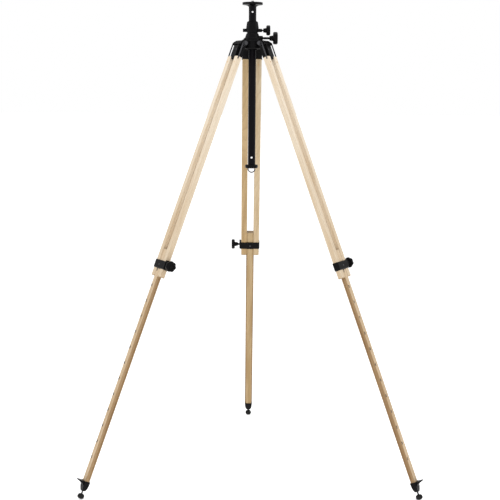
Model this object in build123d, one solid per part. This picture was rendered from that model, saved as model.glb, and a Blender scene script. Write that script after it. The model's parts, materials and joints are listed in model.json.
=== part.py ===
from build123d import *

import math
import os

# Surveyor tripod: three two-section ash legs hinged to a cast shoulder that
# carries a clamped centre column with a small instrument platform.
# Millimetres, +Z up.  Origin: centre of the platform's seat face, on the
# column axis, where the instrument screw leaves the face.  One leg points to
# +Y; the other two stand 120 degrees either side of it.

# ---- driving dimensions ------------------------------------------------

SEAT_HEIGHT = 1602.0            # seat face above the ground
LEG_AZIMUTHS = (90, 210, 330)   # degrees from +X
LEG_TILT = 21.82                # leg lean from vertical, degrees
FIT = 0.05                      # radial running clearance of turning parts
GAP = 0.3                       # clearance between bodies that pass each other

# leg hinge
HINGE_RADIUS = 46.0
HINGE_Z = 1467.0 - SEAT_HEIGHT
KNUCKLE_R = 10.0
HINGE_BOLT_R = 4.0

# upper leg, measured down the leg from the hinge
LEG_OFFSET = 2.9                # rails' mid plane, outward of the hinge
RAIL_WIDTH = 21.0
RAIL_GAP = 24.0
RAIL_THICK = 17.0
RAIL_TOP = 50.0
RAIL_END = 820.8
RAIL_EDGE_R = 2.0
GROOVE_DEPTH = 2.9
GROOVE_HEIGHT = 3.6
GROOVE_AT = LEG_OFFSET - 4.6
HALF_GAP = RAIL_GAP / 2
HALF_WIDTH = HALF_GAP + RAIL_WIDTH
RAIL_IN = LEG_OFFSET - RAIL_THICK / 2
RAIL_OUT = LEG_OFFSET + RAIL_THICK / 2

# leg head fitting
TONGUE_TIP = 61.0
BLOCK_HALF = 14.5
BLOCK_PROUD = 0.6
WEB_TOP = 14.0
WEB_THICK = 7.0
KNUCKLE_HALF = 23.0
SPACER_R = 7.5
TANG_ROOT = 47.0
TANG_AT = HALF_GAP + RAIL_WIDTH / 2
TANG_HALF = 5.0
TANG_THICK = 6.0
TANG_END = 86.0
STRAP_THICK = 1.4
STRAP_WIDTH = 4.0
STRAP_EYE_R = 7.5
STRAP_OUT = RAIL_OUT - 1.4
STRAP_END = 58.0
FACE_SCREW_AT = 26.0
FACE_SCREW_T = 8.5
STRAP_SCREW_AT = 54.8
STRAP_SCREW_R = 1.6
STRAP_SCREW_N = STRAP_OUT - STRAP_WIDTH / 2
RAIL_PIN_AT = 70.0
RAIL_PIN_R = 2.6

# leg clamp
CLAMP_AT = 780.0
BAND_HEIGHT = 28.5
BAND_THICK = 2.0
PLATE_THICK = 1.6
CLAMP_SCREW_AT = CLAMP_AT - 3.0
CLAMP_SCREW_R = 4.0
CLAMP_CHEEK_OUT = 40.0
CLAMP_CHEEK_RISE = 4.5

# lower leg
LOWER_WIDTH = RAIL_GAP - 2 * GAP
LOWER_THICK = 15.0
TONGUE_REACH = GROOVE_DEPTH - 0.4
LOWER_TOP = CLAMP_AT - 53.0
STOP_THICK = 3.0

# foot, measured down the leg from the hinge
SHOE_TOP = 1520.0
SHOE_LENGTH = 33.0
SHOE_BOTTOM = SHOE_TOP + SHOE_LENGTH
SHOE_WIDTH = 29.0
SHOE_THICK = 19.0
TAB_REACH = 20.0
SOCKET_DEPTH = 19.0
PAD_TOP = 1563.27
PAD_HEIGHT = 16.0
PAD_R = 11.35
PAD_EDGE_R = 7.5
SPIKE_R = 2.8
SPIKE_TIP = PAD_TOP + PAD_HEIGHT - 3.0

# centre column
COLUMN_R = 12.5
COLUMN_WALL = 2.5
COLUMN_TOP = -15.0
COLUMN_END = 1064.0 - SEAT_HEIGHT
UPPER_HOLE_Z = 1571.2 - SEAT_HEIGHT
UPPER_HOLE_R = 3.5
LOWER_HOLE_Z = 1087.5 - SEAT_HEIGHT
LOWER_HOLE_R = 3.5

# platform and instrument screw (3/8 inch)
PLATFORM_R = 33.85
PLATFORM_RIM = 7.5
STUD_R = 4.7625
STUD_UP = 6.0
STUD_DOWN = 10.0
STUD_SHANK_R = 4.2
STUD_SHANK_TOP = -0.6
STUD_RECESS_R = 7.5
STUD_RECESS = 1.2
SPIGOT_END = -27.0
SET_SCREW_Z = 1583.0 - SEAT_HEIGHT

# shoulder and column guide
GUIDE_SHELF = 1504.0 - SEAT_HEIGHT
SHOULDER_TOP = 1501.0 - SEAT_HEIGHT
SHOULDER_STEP = 1486.0 - SEAT_HEIGHT
SHOULDER_EDGE = 1478.0 - SEAT_HEIGHT
SHOULDER_BOTTOM = 1449.0 - SEAT_HEIGHT
SHOULDER_R = 33.0
SHOULDER_STEP_R = 29.5
SHOULDER_NECK_R = 21.0
GUIDE_R = 17.5
GUIDE_TOP = 1539.0 - SEAT_HEIGHT
SLEEVE_R = 14.0
COLLAR_SCREW_Z = 1511.0 - SEAT_HEIGHT
COLLAR_SCREW_R = 3.0
GUIDE_SCREW_Z = 1485.5 - SEAT_HEIGHT
GUIDE_SCREW_R = 4.2

# end cap and weight hook
CAP_R = 21.5
CAP_BOTTOM = 1051.5 - SEAT_HEIGHT
HOOK_WIRE_R = 1.9
HOOK_R = 11.6
HOOK_CENTRE_Z = CAP_BOTTOM - 2.0


# ---- shared shapes -----------------------------------------------------

def block(x0, x1, y0, y1, z0, z1):
    """A box between two corners."""
    centre = Pos((x0 + x1) / 2, (y0 + y1) / 2, (z0 + z1) / 2)
    return centre * Box(x1 - x0, y1 - y0, z1 - z0)


def along_x(radius, x0, x1, y=0.0, z=0.0):
    """A round bar along X."""
    return Pos((x0 + x1) / 2, y, z) * Rot(0, 90, 0) * Cylinder(radius, x1 - x0)


def along_y(radius, y0, y1, x=0.0, z=0.0):
    """A round bar along Y."""
    return Pos(x, (y0 + y1) / 2, z) * Rot(90, 0, 0) * Cylinder(radius, y1 - y0)


def along_z(radius, z0, z1, x=0.0, y=0.0):
    """A round bar along Z."""
    return Pos(x, y, (z0 + z1) / 2) * Cylinder(radius, z1 - z0)


def turned(points):
    """A solid of revolution about Z from (radius, height) points."""
    outline = make_face(Plane.XZ * Polyline(*points, close=True))
    return revolve(outline, Axis.Z)


def slab(points, plane, thickness):
    """A flat outline on a plane, thickened equally to both sides."""
    outline = make_face(plane * Polyline(*points, close=True))
    return extrude(outline, amount=thickness / 2, both=True)


def lobed_knob(radius, thick, neck_r, hub_r, neck, lobes):
    """A hand knob along +Z: neck from 0, then a scalloped head with soft edges."""
    head = along_z(radius, neck, neck + thick)
    head = fillet(head.edges().filter_by(GeomType.CIRCLE), thick * 0.22)
    dent_r = radius * 0.30
    dent_at = radius + dent_r * 0.62
    for i in range(lobes):
        angle = math.radians(360 / lobes * i)
        head -= along_z(dent_r, neck - 1, neck + thick + 1, dent_at * math.cos(angle), dent_at * math.sin(angle))
    collar = Pos(0, 0, neck / 2) * Cone(neck_r, hub_r, neck)
    dimple = Pos(0, 0, neck + thick) * Cylinder(radius * 0.42, 2.0)
    return head + collar - dimple


def place_leg(shape, azimuth):
    """Put a shape from leg axes (outward, across, up the leg) on its leg."""
    return Rot(0, 0, azimuth) * Pos(HINGE_RADIUS, 0, HINGE_Z) * Rot(0, -LEG_TILT, 0) * shape


def leg_block(n0, n1, t0, t1, s0, s1):
    """A box in leg axes: outward n, across t, down the leg s."""
    return block(n0, n1, t0, t1, -s1, -s0)


# ---- head: shoulder, hinge bolts, column guide -------------------------

def make_shoulder():
    """Cast shoulder: bored hub with three hinge ears and leg stops."""
    hub = turned([
        (GUIDE_R, SHOULDER_BOTTOM), (SHOULDER_R - 6, SHOULDER_BOTTOM), (SHOULDER_R - 3, SHOULDER_BOTTOM + 3),
        (SHOULDER_R, SHOULDER_EDGE - 7), (SHOULDER_R, SHOULDER_EDGE - 1.5), (SHOULDER_R - 1.5, SHOULDER_EDGE),
        (SHOULDER_STEP_R, SHOULDER_EDGE), (SHOULDER_STEP_R - 0.5, SHOULDER_STEP - 1.5),
        (SHOULDER_STEP_R - 2, SHOULDER_STEP), (SHOULDER_STEP_R - 4.5, SHOULDER_STEP),
        (SHOULDER_NECK_R, SHOULDER_TOP - 3), (SHOULDER_NECK_R - 1.5, SHOULDER_TOP), (GUIDE_R, SHOULDER_TOP),
    ])
    ear_half = HALF_GAP - GAP
    ear = block(GUIDE_R + 6, HINGE_RADIUS, -ear_half, ear_half, HINGE_Z - KNUCKLE_R, HINGE_Z + KNUCKLE_R)
    ear += along_y(KNUCKLE_R, -ear_half, ear_half, HINGE_RADIUS, HINGE_Z)
    stop_face = HINGE_RADIUS - KNUCKLE_R - 0.7 - GAP
    stop = block(GUIDE_R + 3, stop_face, -HALF_GAP - 8, HALF_GAP + 8, HINGE_Z - 3, HINGE_Z + 10.5)
    gusset_half = 4.0
    gusset = slab([
        (SHOULDER_STEP_R - 6, HINGE_Z + KNUCKLE_R - 1), (HINGE_RADIUS - 3, HINGE_Z + KNUCKLE_R - 1),
        (SHOULDER_STEP_R - 6, SHOULDER_STEP),
    ], Plane.XZ, 2 * gusset_half)
    body = hub
    for azimuth in LEG_AZIMUTHS:
        body += Rot(0, 0, azimuth) * (ear + stop + gusset)
    body += along_x(8.0, GUIDE_R + 4, SHOULDER_R + 1.5, 0, GUIDE_SCREW_Z)
    body -= along_z(GUIDE_R, SHOULDER_BOTTOM - 5, SHOULDER_TOP + 5)
    body -= along_x(GUIDE_SCREW_R + FIT, 0, SHOULDER_R + 10, 0, GUIDE_SCREW_Z)
    for azimuth in LEG_AZIMUTHS:
        body -= Rot(0, 0, azimuth) * along_y(HINGE_BOLT_R, -HALF_WIDTH, HALF_WIDTH, HINGE_RADIUS, HINGE_Z)
    return body


def make_hinge_bolts():
    """Three hinge bolts, each with a domed head and a hexagon nut."""
    outer = HALF_WIDTH + STRAP_THICK + GAP
    shank = along_y(HINGE_BOLT_R, -outer - 6, outer + 1)
    head = Pos(0, outer + 2, 0) * Rot(90, 0, 0) * Cylinder(6.5, 4)
    head = fillet(head.edges().filter_by(GeomType.CIRCLE), 1.2)
    nut = extrude(Plane.XZ.offset(outer) * RegularPolygon(6.4, 6), 5)
    bolt = shank + head + nut
    bolts = [Rot(0, 0, azimuth) * Pos(HINGE_RADIUS, 0, HINGE_Z) * bolt for azimuth in LEG_AZIMUTHS]
    return Compound(children=bolts)


def make_column_guide():
    """Column guide: sleeve seated in the shoulder, tapered collar and two screw bosses."""
    boss_r = 5.6
    body = turned([
        (SLEEVE_R + FIT, SHOULDER_BOTTOM - 2), (GUIDE_R, SHOULDER_BOTTOM - 2), (GUIDE_R, GUIDE_SHELF),
        (19.5, GUIDE_SHELF), (20.5, GUIDE_SHELF + 3), (21.3, GUIDE_SHELF + 12), (20.6, GUIDE_SHELF + 18),
        (18.6, GUIDE_TOP - 3), (18.2, GUIDE_TOP - 1), (17.2, GUIDE_TOP), (SLEEVE_R + FIT, GUIDE_TOP),
    ])
    for side in (-1, 1):
        inner = side * (SLEEVE_R + 2)
        outer = side * 32.0
        boss = along_x(boss_r, min(inner, outer), max(inner, outer), 0, COLLAR_SCREW_Z)
        body += fillet(boss.edges().filter_by(GeomType.CIRCLE).sort_by(Axis.X)[-1 if side > 0 else 0], 1.5)
    body -= along_x(COLLAR_SCREW_R + FIT, 0, 40, 0, COLLAR_SCREW_Z)
    body -= along_x(COLLAR_SCREW_R, -28, 0, 0, COLLAR_SCREW_Z)
    return body - along_z(SLEEVE_R + FIT, SHOULDER_BOTTOM - 5, GUIDE_TOP + 5)


def make_guide_plug():
    """Blind screw plug in the guide's second boss."""
    return along_x(COLLAR_SCREW_R, -28, -SLEEVE_R - FIT - 1, 0, COLLAR_SCREW_Z)


def make_guide_sleeve():
    """Thin plastic sleeve that turns in the guide and lets the column slide."""
    bore = COLUMN_R + FIT
    return turned([
        (bore, SHOULDER_BOTTOM), (SLEEVE_R, SHOULDER_BOTTOM), (SLEEVE_R, GUIDE_TOP + GAP),
        (SLEEVE_R + 1.6, GUIDE_TOP + GAP), (SLEEVE_R + 1.2, GUIDE_TOP + GAP + 1.6), (bore, GUIDE_TOP + GAP + 1.6),
    ])


def make_collar_screw():
    """Screw that locks the column."""
    return along_x(COLLAR_SCREW_R, SLEEVE_R + GAP, 50, 0, COLLAR_SCREW_Z)


def make_collar_knob():
    """Small hand knob on the column lock screw."""
    knob = lobed_knob(17.0, 13.5, 6.5, 8.1, 10.0, 7)
    knob = Pos(36, 0, COLLAR_SCREW_Z) * Rot(0, 90, 0) * knob
    return knob - make_collar_screw()


def make_guide_screw():
    """Long screw that holds the column guide in the shoulder."""
    return along_x(GUIDE_SCREW_R, GUIDE_R + GAP, 74, 0, GUIDE_SCREW_Z)


def make_guide_knob():
    """Large hand knob on the guide's screw."""
    knob = lobed_knob(21.0, 15.5, 7.5, 9.4, 12.0, 7)
    knob = Pos(57, 0, GUIDE_SCREW_Z) * Rot(0, 90, 0) * knob
    return knob - make_guide_screw()


# ---- centre column -----------------------------------------------------

def make_column_tube():
    """Column tube with two cross holes and the set screw's hole."""
    tube = along_z(COLUMN_R, COLUMN_END, COLUMN_TOP) - along_z(COLUMN_R - COLUMN_WALL, COLUMN_END, COLUMN_TOP)
    tube -= along_y(UPPER_HOLE_R, -20, 20, 0, UPPER_HOLE_Z)
    tube -= along_y(LOWER_HOLE_R, -20, 20, 0, LOWER_HOLE_Z)
    return tube - make_set_screw()


def make_platform():
    """Round platform with a flared neck and a spigot in the tube."""
    body = turned([
        (0, 0), (PLATFORM_R - 1, 0), (PLATFORM_R, -1), (PLATFORM_R, -PLATFORM_RIM + 1), (PLATFORM_R - 1, -PLATFORM_RIM),
        (22, -PLATFORM_RIM - 1.6), (17, -PLATFORM_RIM - 3.6), (COLUMN_R + 0.6, COLUMN_TOP + 1.2),
        (COLUMN_R, COLUMN_TOP), (COLUMN_R - COLUMN_WALL, COLUMN_TOP), (COLUMN_R - COLUMN_WALL, SPIGOT_END), (0, SPIGOT_END),
    ])
    body -= along_z(STUD_RECESS_R, -STUD_RECESS, 1)
    return body - along_z(STUD_SHANK_R, -STUD_DOWN, 1) - make_set_screw()


def make_stud():
    """Instrument screw standing out of a shallow recess in the platform, on a thinner shank."""
    stud = along_z(STUD_R, STUD_SHANK_TOP, STUD_UP)
    stud = chamfer(stud.edges().group_by(Axis.Z)[-1], 0.8)
    return stud + along_z(STUD_SHANK_R, -STUD_DOWN, STUD_SHANK_TOP)


def make_set_screw():
    """Small screw that locks the platform's spigot in the tube."""
    return along_y(2.0, -COLUMN_R + 0.3, -COLUMN_R + 6, 0, SET_SCREW_Z)


def make_end_cap():
    """Round-edged end flange with a spigot in the tube's lower end."""
    flange = along_z(CAP_R, CAP_BOTTOM, COLUMN_END)
    flange = fillet(flange.edges().filter_by(GeomType.CIRCLE), 5.2)
    spigot = along_z(COLUMN_R - COLUMN_WALL, COLUMN_END - 1, COLUMN_END + 14)
    return flange + spigot - make_hook()


def make_hook():
    """Open wire hook under the end cap."""
    left = (-HOOK_R, 0, HOOK_CENTRE_Z)
    shank = Line((-HOOK_R, 0, CAP_BOTTOM + 6), left)
    bend = ThreePointArc(left, (0, 0, HOOK_CENTRE_Z - HOOK_R), (HOOK_R, 0, HOOK_CENTRE_Z))
    path = Wire([shank, bend])
    section = Plane(origin=path @ 0, z_dir=path % 0) * Circle(HOOK_WIRE_R)
    return sweep(section, path=path)


# ---- one leg, in leg axes ----------------------------------------------

def head_screw_solids():
    """Face screws, strap screws and rail pins of one leg head."""
    screws = []
    plate_face = RAIL_OUT + BLOCK_PROUD
    for side in (-1, 1):
        shank = along_x(2.0, RAIL_OUT - 9, plate_face, side * FACE_SCREW_T, -FACE_SCREW_AT)
        screws.append(shank + along_x(3.6, plate_face, plate_face + 1.4, side * FACE_SCREW_T, -FACE_SCREW_AT))
        screws.append(along_x(RAIL_PIN_R, RAIL_IN - 0.2, RAIL_OUT + 0.2, side * TANG_AT, -RAIL_PIN_AT))
        inner = side * (HALF_WIDTH - 9)
        face = side * (HALF_WIDTH + STRAP_THICK)
        cap = side * (HALF_WIDTH + STRAP_THICK + 1.2)
        shank = along_y(1.1, min(inner, face), max(inner, face), STRAP_SCREW_N, -STRAP_SCREW_AT)
        screws.append(shank + along_y(STRAP_SCREW_R, min(face, cap), max(face, cap), STRAP_SCREW_N, -STRAP_SCREW_AT))
    return screws


def tang(side):
    """Flat tang of the leg head inside one rail."""
    half = TANG_THICK / 2
    t0, t1 = sorted((side * (TANG_AT - TANG_HALF), side * (TANG_AT + TANG_HALF)))
    return leg_block(LEG_OFFSET - half, LEG_OFFSET + half, t0, t1, TANG_ROOT, TANG_END)


def make_rail(side):
    """One grooved ash rail, slotted for the head's tang; side is +1 or -1 across the leg."""
    inner = HALF_GAP
    rail = leg_block(RAIL_IN, RAIL_OUT, inner, HALF_WIDTH, RAIL_TOP, RAIL_END)
    corner = rail.edges().filter_by(Axis.X).group_by(Axis.Z)[0].sort_by(Axis.Y)[-1]
    rail = fillet(corner, 3.0)
    rail = fillet(rail.edges().filter_by(Axis.Z), RAIL_EDGE_R)
    half = GROOVE_HEIGHT / 2
    rail -= leg_block(GROOVE_AT - half, GROOVE_AT + half, inner - 1, inner + GROOVE_DEPTH, RAIL_TOP - 1, RAIL_END + 1)
    if side < 0:
        rail = mirror(rail, Plane.XZ)
    rail -= tang(side)
    for screw in head_screw_solids():
        rail -= screw
    return rail


def make_leg_head():
    """Cast leg head: two knuckles on a central block, a web on the rails' ends, tangs in them and a pointed tongue."""
    front = RAIL_OUT + BLOCK_PROUD
    back = RAIL_IN - BLOCK_PROUD
    body = along_y(KNUCKLE_R, -KNUCKLE_HALF, KNUCKLE_HALF)
    body += along_y(SPACER_R, -HALF_WIDTH, HALF_WIDTH)
    body += slab([
        (-BLOCK_HALF, -6.0), (BLOCK_HALF, -6.0), (BLOCK_HALF, -RAIL_TOP + 2), (BLOCK_HALF - 2, -RAIL_TOP),
        (-BLOCK_HALF + 2, -RAIL_TOP), (-BLOCK_HALF, -RAIL_TOP + 2),
    ], Plane.YZ.offset((front + back) / 2), front - back)
    body += leg_block(RAIL_IN, RAIL_IN + WEB_THICK, -HALF_WIDTH, HALF_WIDTH, WEB_TOP, RAIL_TOP)
    body += slab([
        (-HALF_GAP, -RAIL_TOP + 2), (HALF_GAP, -RAIL_TOP + 2), (HALF_GAP, -RAIL_TOP), (0, -TONGUE_TIP), (-HALF_GAP, -RAIL_TOP),
    ], Plane.YZ.offset(LEG_OFFSET), RAIL_THICK)
    body += tang(1) + tang(-1)
    body -= leg_block(-40, 40, -HALF_GAP, HALF_GAP, -40, KNUCKLE_R + 1.6)
    toes = Rot(0, LEG_TILT, 0) * block(-KNUCKLE_R - 0.7, -4, -HALF_GAP - 7, HALF_GAP + 7, 0.5, 6)
    body += toes - leg_block(-40, 40, -HALF_GAP, HALF_GAP, -40, 40)
    body -= along_y(HINGE_BOLT_R + FIT, -HALF_WIDTH - 5, HALF_WIDTH + 5)
    for screw in head_screw_solids():
        body -= screw
    return body


def make_straps():
    """Narrow steel straps from the hinge bolt's ends down to the rails, near the leg's outer face."""
    low = STRAP_OUT - STRAP_WIDTH
    straps = []
    for side in (-1, 1):
        t0, t1 = sorted((side * HALF_WIDTH, side * (HALF_WIDTH + STRAP_THICK)))
        strap = along_y(STRAP_EYE_R, t0, t1)
        strap += leg_block(0, STRAP_OUT, t0, t1, 0, STRAP_EYE_R)
        strap += leg_block(low, STRAP_OUT, t0, t1, 0, STRAP_END)
        strap = fillet(strap.edges().filter_by(Axis.Y).group_by(Axis.Z)[0], 1.6)
        strap -= along_y(HINGE_BOLT_R + FIT, t0 - 1, t1 + 1)
        for screw in head_screw_solids():
            strap -= screw
        straps.append(strap)
    return straps


def make_clamp_band():
    """Clamp band around both rails, with a thick raised cheek on the screw side and inner stop lips."""
    top = CLAMP_AT - BAND_HEIGHT / 2
    bottom = CLAMP_AT + BAND_HEIGHT / 2
    cheek_in = HALF_WIDTH + PLATE_THICK
    front = RAIL_OUT + BAND_THICK
    back = RAIL_IN - BAND_THICK
    band = leg_block(back, front, -HALF_WIDTH - BAND_THICK, CLAMP_CHEEK_OUT, top, bottom)
    band = fillet(band.edges().filter_by(Axis.Z), 2.5)
    band = fillet(band.edges().filter_by(Axis.X).group_by(Axis.Z)[0].sort_by(Axis.Y)[-1], 5.0)
    cheek = leg_block(back + 1, front - 1, cheek_in, CLAMP_CHEEK_OUT, top - CLAMP_CHEEK_RISE, top + 4)
    cheek = fillet(cheek.edges().filter_by(Axis.Y).group_by(Axis.Z)[-1], 4.0)
    band += cheek
    band -= leg_block(RAIL_IN, RAIL_OUT, -HALF_WIDTH, cheek_in, top - 20, bottom + 10)
    lip = RAIL_THICK / 2 - LOWER_THICK / 2 - GAP
    lip_half = HALF_GAP - 1
    band += leg_block(RAIL_IN, RAIL_IN + lip, -lip_half, lip_half, top, bottom)
    band += leg_block(RAIL_OUT - lip, RAIL_OUT, -lip_half, lip_half, top, bottom)
    return band - along_y(CLAMP_SCREW_R + FIT, HALF_WIDTH - 4, CLAMP_CHEEK_OUT + 4, LEG_OFFSET, -CLAMP_SCREW_AT)


def make_clamp_plate():
    """Pressure plate between the clamp screw and the rail."""
    half = RAIL_THICK / 2 - 1
    return leg_block(LEG_OFFSET - half, LEG_OFFSET + half, HALF_WIDTH, HALF_WIDTH + PLATE_THICK, CLAMP_AT - 12, CLAMP_AT + 12)


def make_clamp_screw():
    """Clamp screw, from its seat on the plate into the knob."""
    return along_y(CLAMP_SCREW_R, HALF_WIDTH + PLATE_THICK + GAP, 62, LEG_OFFSET, -CLAMP_SCREW_AT)


def make_clamp_knob():
    """Hand knob of the leg clamp."""
    knob = lobed_knob(18.0, 12.0, 6.2, 8.3, 11.5, 7)
    knob = Pos(LEG_OFFSET, 45.5, -CLAMP_SCREW_AT) * Rot(-90, 0, 0) * knob
    return knob - make_clamp_screw()


def make_shoe_screw():
    """Cross screw through the foot shoe and the rail's end."""
    half = SHOE_THICK / 2
    at = -(SHOE_TOP + 10)
    shank = along_x(2.5, LEG_OFFSET - half + 1.5, LEG_OFFSET + half, 0, at)
    return shank + along_x(4.2, LEG_OFFSET + half, LEG_OFFSET + half + 1.6, 0, at)


def make_lower_rail():
    """Sliding lower rail with side tongues and a rounded end in the shoe."""
    half_w = LOWER_WIDTH / 2
    half_t = LOWER_THICK / 2
    end = SHOE_TOP + SOCKET_DEPTH
    core = leg_block(LEG_OFFSET - half_t, LEG_OFFSET + half_t, -half_w, half_w, LOWER_TOP, end - 10)
    core = fillet(core.edges().filter_by(Axis.Z), 1.5)
    tongue_half = GROOVE_HEIGHT / 2 - 0.4
    reach = half_w + TONGUE_REACH
    wings = leg_block(GROOVE_AT - tongue_half, GROOVE_AT + tongue_half, -reach, reach, LOWER_TOP, SHOE_TOP - 6)
    wings = chamfer(wings.edges().filter_by(Axis.X).group_by(Axis.Z)[0], 2.2)
    tenon = leg_block(LEG_OFFSET - half_t, LEG_OFFSET + half_t, -half_w, half_w, SHOE_TOP - 4, end)
    tenon = fillet(tenon.edges().filter_by(Axis.X).group_by(Axis.Z)[0], 8.0)
    return core + wings + tenon - make_shoe_screw()


def make_slide_stop():
    """Stop plate on the lower rail's top end, wider than the clamp's lips."""
    half_w = LOWER_WIDTH / 2
    half_t = RAIL_THICK / 2 - GAP
    plate = leg_block(LEG_OFFSET - half_t, LEG_OFFSET + half_t, -half_w, half_w, LOWER_TOP - STOP_THICK, LOWER_TOP)
    return chamfer(plate.edges().group_by(Axis.Z)[-1], 0.8)


def make_foot_shoe():
    """Cast foot shoe: tapered socket with an outward tread tab."""
    top = -SHOE_TOP
    low = -SHOE_BOTTOM
    half_w = SHOE_WIDTH / 2
    half_t = SHOE_THICK / 2
    front = slab([
        (-half_w, top), (half_w, top), (half_w - 1.5, top - 16), (half_w - 3.5, low + 8), (6, low), (-6, low),
        (-half_w + 3.5, low + 8), (-half_w + 1.5, top - 16),
    ], Plane.YZ, 60)
    side = slab([
        (LEG_OFFSET - half_t, top), (LEG_OFFSET + half_t, top), (LEG_OFFSET + half_t - 0.5, top - 17),
        (LEG_OFFSET + 6, low), (LEG_OFFSET - 6, low), (LEG_OFFSET - half_t + 0.5, top - 17),
    ], Plane.XZ, 60)
    body = front & side
    face = LEG_OFFSET + half_t
    tab_tip = face + TAB_REACH
    tab = slab([
        (face - 3, top), (tab_tip - 0.6, top + 0.6), (tab_tip, top - 2.2), (face + 6, top - 7.5), (face - 3, top - 18),
    ], Plane.XZ, 20)
    corners = tab.edges().filter_by(Axis.Z, tolerance=30).group_by(Axis.X)[-1]
    tab = fillet(corners, 1.0)
    body += tab
    socket_w = LOWER_WIDTH / 2
    socket_t = LOWER_THICK / 2
    socket = leg_block(LEG_OFFSET - socket_t, LEG_OFFSET + socket_t, -socket_w, socket_w, SHOE_TOP - 5, SHOE_TOP + SOCKET_DEPTH)
    socket = fillet(socket.edges().filter_by(Axis.X).group_by(Axis.Z)[0], 8.0)
    body -= socket
    body -= along_z(SPIKE_R, low - 1, low + 14, LEG_OFFSET, 0)
    return body - make_shoe_screw()


def make_foot_spike():
    """Threaded steel rod with a pointed tip."""
    cone = 6.0
    rod = along_z(SPIKE_R, -SPIKE_TIP + cone, -SHOE_BOTTOM + 14, LEG_OFFSET, 0)
    return rod + Pos(LEG_OFFSET, 0, -SPIKE_TIP + cone / 2) * Cone(0.6, SPIKE_R, cone)


def make_foot_pad():
    """Rubber foot that screws up the rod to bare its point."""
    pad = along_z(PAD_R, -PAD_TOP - PAD_HEIGHT, -PAD_TOP, LEG_OFFSET, 0)
    pad = fillet(pad.edges().filter_by(GeomType.CIRCLE), PAD_EDGE_R)
    return pad - along_z(SPIKE_R + FIT, -PAD_TOP - PAD_HEIGHT - 1, -PAD_TOP + 1, LEG_OFFSET, 0)


# ---- write every piece -------------------------------------------------

HEAD_PIECES = {
    "shoulder": make_shoulder,
    "hinge_bolts": make_hinge_bolts,
    "column_guide": make_column_guide,
    "guide_plug": make_guide_plug,
    "guide_sleeve": make_guide_sleeve,
    "collar_screw": make_collar_screw,
    "collar_knob": make_collar_knob,
    "guide_screw": make_guide_screw,
    "guide_knob": make_guide_knob,
    "column_tube": make_column_tube,
    "platform": make_platform,
    "instrument_screw": make_stud,
    "platform_set_screw": make_set_screw,
    "end_cap": make_end_cap,
    "weight_hook": make_hook,
}

LEG_PIECES = {
    "rail_a": [make_rail(1)],
    "rail_b": [make_rail(-1)],
    "head": [make_leg_head()],
    "straps": make_straps(),
    "head_screws": head_screw_solids(),
    "clamp_band": [make_clamp_band()],
    "clamp_plate": [make_clamp_plate()],
    "clamp_screw": [make_clamp_screw()],
    "clamp_knob": [make_clamp_knob()],
    "lower_rail": [make_lower_rail()],
    "slide_stop": [make_slide_stop()],
    "foot_shoe": [make_foot_shoe()],
    "shoe_screw": [make_shoe_screw()],
    "foot_spike": [make_foot_spike()],
    "foot_pad": [make_foot_pad()],
}

os.makedirs("parts", exist_ok=True)

for name, make in HEAD_PIECES.items():
    export_step(make(), f"parts/{name}.step")

for number, azimuth in enumerate(LEG_AZIMUTHS, start=1):
    for name, solids in LEG_PIECES.items():
        placed = [place_leg(solid, azimuth) for solid in solids]
        piece = placed[0] if len(placed) == 1 else Compound(children=placed)
        export_step(piece, f"parts/leg{number}_{name}.step")
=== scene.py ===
import json
import math

import bmesh
import bpy
from mathutils import Matrix, Vector

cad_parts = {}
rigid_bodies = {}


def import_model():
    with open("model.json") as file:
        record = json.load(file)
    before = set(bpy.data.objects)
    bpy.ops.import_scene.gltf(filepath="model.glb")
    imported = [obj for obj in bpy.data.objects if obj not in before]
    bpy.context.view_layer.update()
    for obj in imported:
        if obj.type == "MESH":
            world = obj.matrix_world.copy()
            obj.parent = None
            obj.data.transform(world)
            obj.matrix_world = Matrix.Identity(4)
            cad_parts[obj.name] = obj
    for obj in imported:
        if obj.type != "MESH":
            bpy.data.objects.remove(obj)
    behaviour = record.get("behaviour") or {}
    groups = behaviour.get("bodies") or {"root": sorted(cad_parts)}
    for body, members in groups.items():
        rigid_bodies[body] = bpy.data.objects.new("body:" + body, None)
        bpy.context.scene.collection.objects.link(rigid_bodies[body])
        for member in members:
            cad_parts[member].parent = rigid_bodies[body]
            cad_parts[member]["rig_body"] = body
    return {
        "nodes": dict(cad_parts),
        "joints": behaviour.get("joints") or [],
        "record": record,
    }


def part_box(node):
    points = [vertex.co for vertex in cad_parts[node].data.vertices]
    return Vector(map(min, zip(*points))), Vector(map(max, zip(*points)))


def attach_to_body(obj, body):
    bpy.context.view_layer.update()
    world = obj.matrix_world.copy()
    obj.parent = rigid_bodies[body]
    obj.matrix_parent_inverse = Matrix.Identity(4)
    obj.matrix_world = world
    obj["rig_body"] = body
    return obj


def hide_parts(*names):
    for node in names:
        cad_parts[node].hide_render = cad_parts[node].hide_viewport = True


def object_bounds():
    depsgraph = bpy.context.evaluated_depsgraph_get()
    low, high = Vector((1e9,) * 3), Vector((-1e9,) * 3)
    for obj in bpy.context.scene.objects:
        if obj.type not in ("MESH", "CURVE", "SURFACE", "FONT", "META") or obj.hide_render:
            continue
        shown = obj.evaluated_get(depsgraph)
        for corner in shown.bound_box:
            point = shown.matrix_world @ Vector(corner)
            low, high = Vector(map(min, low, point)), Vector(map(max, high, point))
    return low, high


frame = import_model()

# Surveyor tripod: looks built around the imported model, in metres, in its frame.
# The origin is the centre of the platform's seat face, +Z up; one leg points to +Y.

MM = 0.001
CAD_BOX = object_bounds()
JOINTS = {joint["name"]: joint for joint in frame["joints"]}
NODES = frame["nodes"]
LEGS = (1, 2, 3)
GROUND_Z = CAD_BOX[0][2]

# ---- measures shared by the pieces (millimetres in leg axes: outward, across, up the leg) ----

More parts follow.
